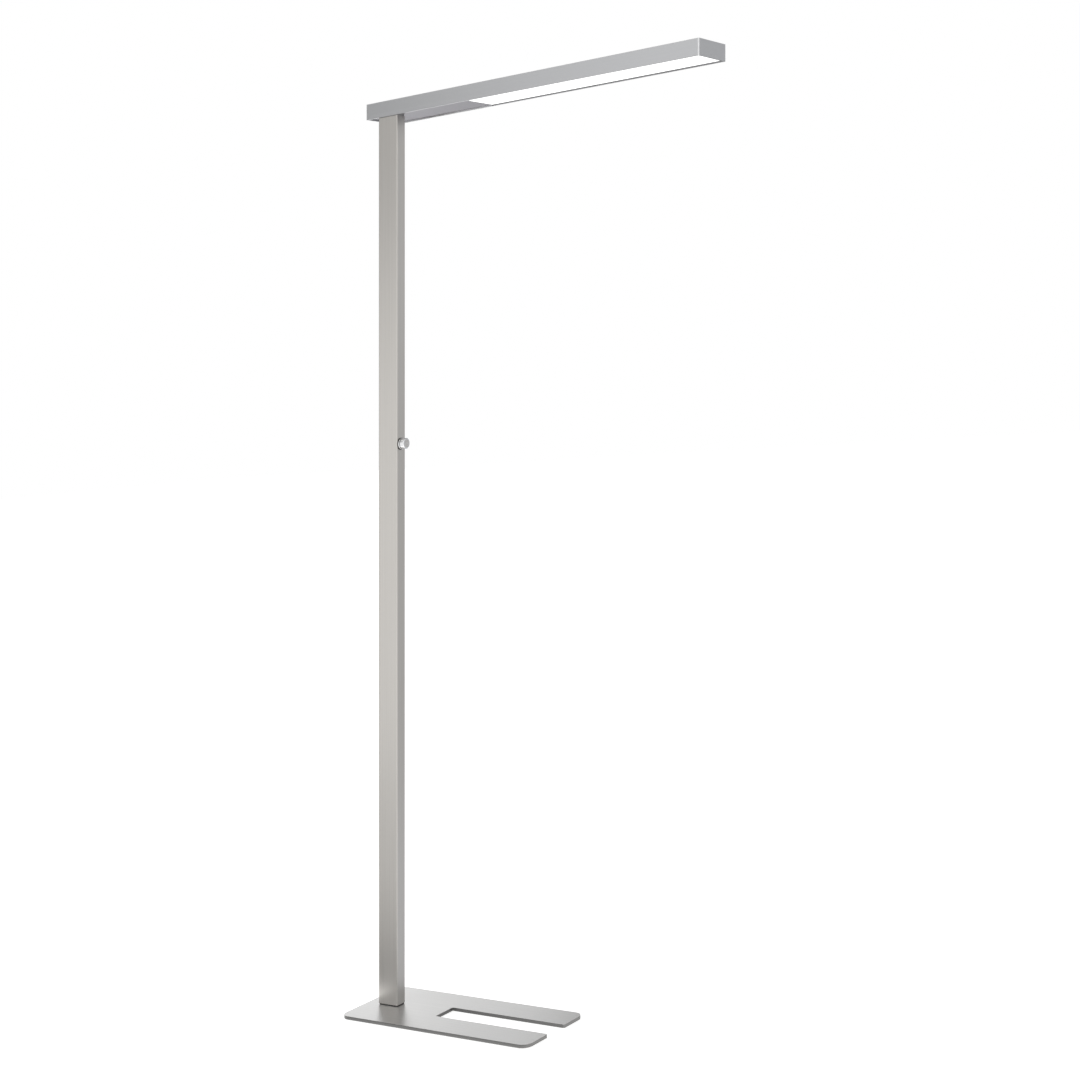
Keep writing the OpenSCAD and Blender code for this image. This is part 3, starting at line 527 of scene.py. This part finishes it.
FINISHES = {
    "plate_steel": steel_of_the_foot(),
    "post_aluminium": lacquered_post(),
    "head_aluminium": anodised_head(),
    "cover_aluminium": cover_in_painted_shade(),
    "diffuser_opal": opal_diffuser(),
    "dimmer_chrome": polished_chrome(),
    # The knob face's darker tone is painted shade.
    "face_chrome": spun_metal("spun chrome in painted shade", SHADED_SPUN_CHROME, 0.30, 0.8),
    "pad_rubber": plastic("pad rubber", (0.022, 0.022, 0.022), 0.85),
    "joint_black": plastic("black joint", BLACK_JOINT, 0.7),
    "joint_grey": plastic("grey joint", GREY_JOINT, 0.6),
    "bushing_plastic": plastic("inlet bushing", (0.02, 0.02, 0.021), 0.5),
    "block_aluminium": plain_metal("machined block", (0.60, 0.60, 0.60), 0.32),
    "screw_steel": plain_metal("zinc plated steel", (0.58, 0.58, 0.59), 0.30),
    "grub_steel": plain_metal("black oxide steel", (0.045, 0.045, 0.048), 0.45),
    "terminal_plastic": plastic("terminal plastic", (0.66, 0.63, 0.55), 0.42),
    "brass": plain_metal("brass", (0.72, 0.53, 0.24), 0.25),
    "dome_brass": plain_metal("spring brass", (0.78, 0.62, 0.34), 0.18),
    "lead_white": plastic("white sheath", (0.72, 0.72, 0.71), 0.45),
    "lead_grey": plastic("grey sheath", (0.19, 0.19, 0.20), 0.45),
    "encoder_metal": plain_metal("die cast case", (0.50, 0.50, 0.51), 0.38),
    "encoder_plastic": plastic("phenolic base", (0.16, 0.075, 0.03), 0.5),
    "plunger_plastic": plastic("plunger plastic", (0.72, 0.72, 0.68), 0.3),
    "shaft_steel": plain_metal("ground shaft", (0.62, 0.62, 0.62), 0.2),
    "board_green": plastic("circuit board", (0.012, 0.09, 0.03), 0.3),
    "carrier_steel": plain_metal("plated carrier", (0.30, 0.30, 0.31), 0.36),
    "driver_white": plastic("driver case", (0.74, 0.74, 0.72), 0.4),
    "tray_aluminium": plain_metal("mill finish tray", (0.62, 0.62, 0.63), 0.34),
    "light_board_white": plastic("white light board", (0.80, 0.80, 0.77), 0.3),
    "light_chip": plastic("phosphor chip", (0.88, 0.68, 0.14), 0.35),
    "reflector_white": plastic("white reflector", (0.86, 0.86, 0.86), 0.6),
}


# ---------------------------------------------------------------- pieces

def slot_of(node):
    """The record's material slot that a CAD node is in, which is its imported material's name."""
    return frame["nodes"][node].data.materials[0].name.split(".")[0]


def body_of(node):
    return frame["nodes"][node]["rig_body"]


def lay_brushing(bm, along):
    """A map whose first coordinate runs across the brush lines, which go along that axis."""
    layer = bm.loops.layers.uv.new("brushing")
    direction = Vector(along)
    for face in bm.faces:
        across = direction.cross(face.normal)
        if across.length < NEARLY_ALONG:
            across = Vector((0, 1, 0)) if abs(direction.y) < 0.5 else Vector((1, 0, 0))
        across.normalize()
        other = face.normal.cross(across)
        for corner in face.loops:
            place = corner.vert.co
            corner[layer].uv = (place.dot(across), place.dot(other))


def mark_lip_walls(bm):
    """Marks the walls that face into the head's underside opening, between the lips and the caps."""
    low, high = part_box("head_profile")
    diffuser_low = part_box("diffuser")[0][2]
    inside = bm.faces.layers.float.new("inner_wall")
    for face in bm.faces:
        place = face.calc_center_median()
        inwards = face.normal.y * ((low[1] + high[1]) / 2 - place.y) + face.normal.x * (
            (low[0] + high[0]) / 2 - place.x
        )
        if place.z < diffuser_low + MERGE and abs(face.normal.z) < STEEP and inwards > 0:
            face[inside] = 1.0


def softened(node, arris, along):
    """Replaces a CAD node with a copy of its mesh: one clean skin with its sharp edges broken."""
    bm = bmesh.new()
    bm.from_mesh(frame["nodes"][node].data)
    bmesh.ops.remove_doubles(bm, verts=bm.verts, dist=MERGE)
    bmesh.ops.dissolve_limit(
        bm, angle_limit=FLAT_ANGLE, use_dissolve_boundaries=False, verts=bm.verts, edges=bm.edges
    )
    edge_mark = bm.faces.layers.float.new("arris")
    sharp = [
        edge
        for edge in bm.edges
        if len(edge.link_faces) == 2 and edge.calc_face_angle() > SHARP_ANGLE
    ]
    made = bmesh.ops.bevel(
        bm, geom=sharp, offset=arris, offset_type="OFFSET", segments=ARRIS_STEPS, profile=0.5,
        affect="EDGES", clamp_overlap=True, material=-1,
    )
    for face in made["faces"]:
        face[edge_mark] = 1.0
    # On the head, every face off the axes, rounded or bevelled, takes the bright arris tone as a painted
    # highlight: full on upright edges, weaker on level ones.
    if slot_of(node) == "head_aluminium":
        mark_lip_walls(bm)
        for face in bm.faces:
            if max(abs(part) for part in face.normal) < ON_AXIS:
                face[edge_mark] = 1.0 if abs(face.normal.z) < UPRIGHT else LEVEL_EDGE_HIGHLIGHT
    for face in bm.faces:
        face.smooth = True
    for edge in bm.edges:
        edge.smooth = len(edge.link_faces) == 2 and edge.calc_face_angle() < SHARP_ANGLE
    lay_brushing(bm, along)
    mesh = bpy.data.meshes.new(node + "_skin")
    bm.to_mesh(mesh)
    bm.free()
    piece = bpy.data.objects.new(node + "_skin", mesh)
    bpy.context.scene.collection.objects.link(piece)
    mesh.materials.append(FINISHES[slot_of(node)])
    even = piece.modifiers.new("even_normals", "WEIGHTED_NORMAL")
    even.keep_sharp = True
    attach(piece, body_of(node))
    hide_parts(node)
    slot_of(node)


def finish_cad_nodes():
    """Gives every CAD node its finish. It comes last, as slot_of reads the imported materials."""
    for node, piece in frame["nodes"].items():
        piece.material_slots[0].material = FINISHES[slot_of(node)]


X_WAY, Z_WAY = (1, 0, 0), (0, 0, 1)
SOFTENED = [
    ("base_plate", PLATE_ARRIS, X_WAY),
    ("base_pads", PAD_ARRIS, X_WAY),
    ("post_tube", POST_ARRIS, Z_WAY),
    ("head_profile", HEAD_ARRIS, X_WAY),
    ("tip_cap", CAP_ARRIS, X_WAY),
    ("rear_cap", CAP_ARRIS, X_WAY),
    ("rear_cover", COVER_ARRIS, X_WAY),
    ("driver_cover", COVER_ARRIS, X_WAY),
    ("diffuser", COVER_ARRIS, X_WAY),
    ("inlet_bushing", PLASTIC_ARRIS, X_WAY),
    ("dimmer_gasket", PLASTIC_ARRIS, X_WAY),
    ("dimmer_bezel", CHROME_ARRIS, X_WAY),
    ("dimmer_knob", CHROME_ARRIS, X_WAY),
    ("knob_face", PLASTIC_ARRIS, X_WAY),
]
for node, arris, along in SOFTENED:
    softened(node, arris, along)
finish_cad_nodes()


# ---------------------------------------------------------------- studio

def shows_background(tree):
    """1 for the rays that see the white background: the camera's, and those from metal and glass."""
    path = tree.nodes.new("ShaderNodeLightPath")
    seen = math_node(tree, "MAXIMUM", path.outputs["Is Camera Ray"], path.outputs["Is Glossy Ray"])
    return math_node(tree, "MAXIMUM", seen, path.outputs["Is Transmission Ray"])


def white_room():
    """A white room that lights the lamp evenly from all round."""
    world = bpy.data.worlds.new("white room")
    world.use_nodes = True
    tree = world.node_tree
    light = tree.nodes["Background"]
    light.inputs["Color"].default_value = colour(WHITE)
    light.inputs["Strength"].default_value = ROOM_LEVEL
    seen = add_node(tree, "ShaderNodeBackground")
    seen.inputs["Color"].default_value = colour(WHITE)
    seen.inputs["Strength"].default_value = 1.0
    choice = tree.nodes.new("ShaderNodeMixShader")
    join(tree, shows_background(tree), choice.inputs[0])
    join(tree, light.outputs[0], choice.inputs[1])
    join(tree, seen.outputs[0], choice.inputs[2])
    join(tree, choice.outputs[0], tree.nodes["World Output"].inputs["Surface"])
    bpy.context.scene.world = world


def link_stage(name, mesh):
    made = bpy.data.objects.new(name, mesh)
    bpy.context.scene.collection.objects.link(made)
    return made


def pale_floor():
    """A plain white floor that still takes the lamp's shadow."""
    bm = bmesh.new()
    bmesh.ops.create_grid(bm, x_segments=1, y_segments=1, size=FLOOR_REACH)
    mesh = bpy.data.meshes.new("floor")
    bm.to_mesh(mesh)
    bm.free()
    material = bpy.data.materials.new("white floor")
    material.use_nodes = True
    tree = material.node_tree
    tree.nodes.clear()
    paper = add_node(tree, "ShaderNodeBsdfDiffuse")
    paper.inputs["Color"].default_value = colour(FLOOR_TONE)
    glow = add_node(tree, "ShaderNodeEmission")
    join(tree, math_node(tree, "MULTIPLY", shows_background(tree), FLOOR_GLOW), glow.inputs["Strength"])
    both = tree.nodes.new("ShaderNodeAddShader")
    join(tree, paper.outputs[0], both.inputs[0])
    join(tree, glow.outputs[0], both.inputs[1])
    end = tree.nodes.new("ShaderNodeOutputMaterial")
    join(tree, both.outputs[0], end.inputs["Surface"])
    mesh.materials.append(material)
    link_stage("floor", mesh)


def key_light():
    """One broad lamp from the front left, high up. Reflections don't see it."""
    data = bpy.data.lights.new("key", "AREA")
    data.shape = "SQUARE"
    data.size = KEY_SIZE
    data.energy = KEY_POWER
    lamp = bpy.data.objects.new("key", data)
    bpy.context.scene.collection.objects.link(lamp)
    lamp.location = KEY_AT
    lamp.rotation_mode = "QUATERNION"
    lamp.rotation_quaternion = (KEY_AIM - KEY_AT).to_track_quat("-Z", "Y")
    lamp.visible_camera = False
    lamp.visible_glossy = False


def studio_camera():
    """The photograph's camera. Its picture is slanted: rows fall to the left and the axis drops ahead.

    The slant sits in the parent's inverse matrix, so it goes when another view takes the camera over.
    """
    data = bpy.data.cameras.new("camera")
    data.sensor_width = SENSOR
    data.lens = FOCAL
    up = Vector((0, 0, 1))
    right = Vector((math.cos(CAMERA_YAW), math.sin(CAMERA_YAW), 0))
    ahead = Vector((-math.sin(CAMERA_YAW), math.cos(CAMERA_YAW), 0))
    row = math.cos(ROW_TILT) * right + math.sin(ROW_TILT) * up
    back = (AXIS_DROP * up - ahead).normalized()
    slant = Matrix.Identity(4)
    for column, axis in enumerate((row, up, back, CAMERA_AT)):
        for line in range(3):
            slant[line][column] = axis[line]
    stand = bpy.data.objects.new("camera_stand", None)
    camera = bpy.data.objects.new("camera", data)
    for part in (stand, camera):
        bpy.context.scene.collection.objects.link(part)
    camera.parent = stand
    camera.matrix_parent_inverse = slant
    bpy.context.scene.camera = camera


def screen_card(name, corner, across, up, tone, tint=WHITE):
    """A lit paper screen that only reflections see: tone(u, v) is its level, u and v from 0 to 1."""
    bm = bmesh.new()
    bmesh.ops.create_grid(bm, x_segments=SCREEN_CELLS, y_segments=SCREEN_CELLS, size=0.5)
    level = bm.verts.layers.float.new("level")
    for vert in bm.verts:
        u, v = vert.co.x + 0.5, vert.co.y + 0.5
        vert[level] = tone(u, v)
        vert.co = corner + u * across + v * up
    mesh = bpy.data.meshes.new(name)
    bm.to_mesh(mesh)
    bm.free()
    material = bpy.data.materials.new(name + " paper")
    material.use_nodes = True
    material.cycles.emission_sampling = "NONE"
    tree = material.node_tree
    tree.nodes.clear()
    glow = add_node(tree, "ShaderNodeEmission")
    glow.inputs["Color"].default_value = colour(tint)
    level_of = add_node(tree, "ShaderNodeAttribute", attribute_name="level")
    join(tree, level_of.outputs["Fac"], glow.inputs["Strength"])
    end = tree.nodes.new("ShaderNodeOutputMaterial")
    join(tree, glow.outputs[0], end.inputs["Surface"])
    mesh.materials.append(material)
    card = link_stage(name, mesh)
    card.visible_camera = False
    card.visible_diffuse = False
    card.visible_transmission = False
    card.visible_shadow = False


def ramp(value, low, high):
    """0 at low, 1 at high, smooth between."""
    share = max(0.0, min(1.0, (value - low) / (high - low)))
    return share * share * (3 - 2 * share)


def front_screen():
    """Stands along the near side. It fades upwards and to the left, and is duller by the foot.

    A soft band across it, under the head, dulls the top of the post.
    """
    left, right = -1.6, 1.2

    def tone(u, v):
        x, z = left + u * (right - left), v * SCREEN_TOP
        top_level = 0.53 + 0.09 * ramp(x, -0.87, -0.6) + 0.32 * ramp(x, -0.78, 0.15)
        level = 1.0 - (1.0 - top_level) * ramp(z, 1.15, 2.25)
        foot = 1.0 - 0.4 * (1.0 - ramp(z, 0.0, 0.46)) * (1.0 - ramp(x, -0.6, 0.1))
        height = ramp(z, 1.7, 1.9) * (1.0 - ramp(z, 2.0, 2.1))
        band = 1.0 - 0.14 * height * (1.0 - ramp(x, -0.7, -0.55))
        return level * foot * band

    screen_card(
        "front_screen",
        Vector((left, FRONT_Y, 0)), Vector((right - left, 0, 0)), Vector((0, 0, SCREEN_TOP)),
        tone,
    )


def left_screen():
    """A dark flag to the left, which draws the dark line down that side of the post."""
    screen_card(
        "left_flag",
        Vector((LEFT_X, FRONT_Y, 0)), Vector((0, 1.8, 0)), Vector((0, 0, SCREEN_TOP)),
        lambda u, v: 0.1,
    )


def back_screen():
    """Stands behind. It is bright at the left and low down, and falls off to the right and upwards."""
    left, right = -2.2, 1.0

    def tone(u, v):
        x, z = left + u * (right - left), v * SCREEN_TOP
        side = 1.95 - 0.6 * ramp(x, -1.5, -0.95) - 0.9 * ramp(x, -0.76, -0.42)
        return side * (1.0 - 0.68 * ramp(z, 0.9, 1.5))

    screen_card(
        "back_screen",
        Vector((left, BACK_Y, 0)), Vector((right - left, 0, 0)), Vector((0, 0, SCREEN_TOP)),
        tone,
    )


def right_screens():
    """Stand past the tip: a light grey, and farther along a cooler one, brightest near the head."""
    screen_card(
        "right_screen",
        Vector((RIGHT_X, 0.2, 0)), Vector((0, 1.4, 0)), Vector((0, 0, RIGHT_TOP)),
        lambda u, v: 0.60,
    )

    def tone(u, v):
        z = v * RIGHT_TOP
        return 0.585 + 0.38 * ramp(z, 0.95, 1.8) - 0.17 * ramp(z, 1.8, 2.15)

    screen_card(
        "far_right_screen",
        Vector((RIGHT_X, BACK_Y, 0)), Vector((0, 1.6, 0)), Vector((0, 0, RIGHT_TOP)),
        tone, COOL,
    )


def floor_screens():
    """Lie before the foot, behind it and in its slot. The first is grey by the plate, as in its shadow."""
    near, far = -0.9, -0.119
    left, right = -0.9, 0.9

    def tone(u, v):
        x, away = left + u * (right - left), 1 - v
        return 0.34 + 0.32 * ramp(away, 0.0, 0.8) + 0.45 * ramp(x, 0.03, 0.2) * ramp(away, 0.03, 0.1)

    screen_card(
        "floor_screen",
        Vector((left, near, FLOOR_LIFT)), Vector((right - left, 0, 0)), Vector((0, far - near, 0)),
        tone,
    )
    screen_card(
        "far_floor_screen",
        Vector((0.05, 0.11, FLOOR_LIFT)), Vector((1.5, 0, 0)), Vector((0, 2.2, 0)),
        lambda u, v: 0.64 + 0.04 * v, COOL,
    )
    screen_card(
        "slot_screen",
        Vector((0.143, -0.029, FLOOR_LIFT)), Vector((0.28, 0, 0)), Vector((0, 0.058, 0)),
        lambda u, v: 0.62 + 0.28 * u,
    )


def ceiling_screen():
    """Hangs over the lamp: a dull ceiling, which the rounded edges and the knob's top show."""
    screen_card(
        "ceiling_screen",
        Vector((-2.2, -0.5, CEILING)), Vector((3.75, 0, 0)), Vector((0, 2.1, 0)),
        lambda u, v: 0.28,
    )


white_room()
pale_floor()
key_light()
studio_camera()
front_screen()
left_screen()
back_screen()
right_screens()
floor_screens()
ceiling_screen()

scene = bpy.context.scene
scene.view_settings.view_transform = "Standard"
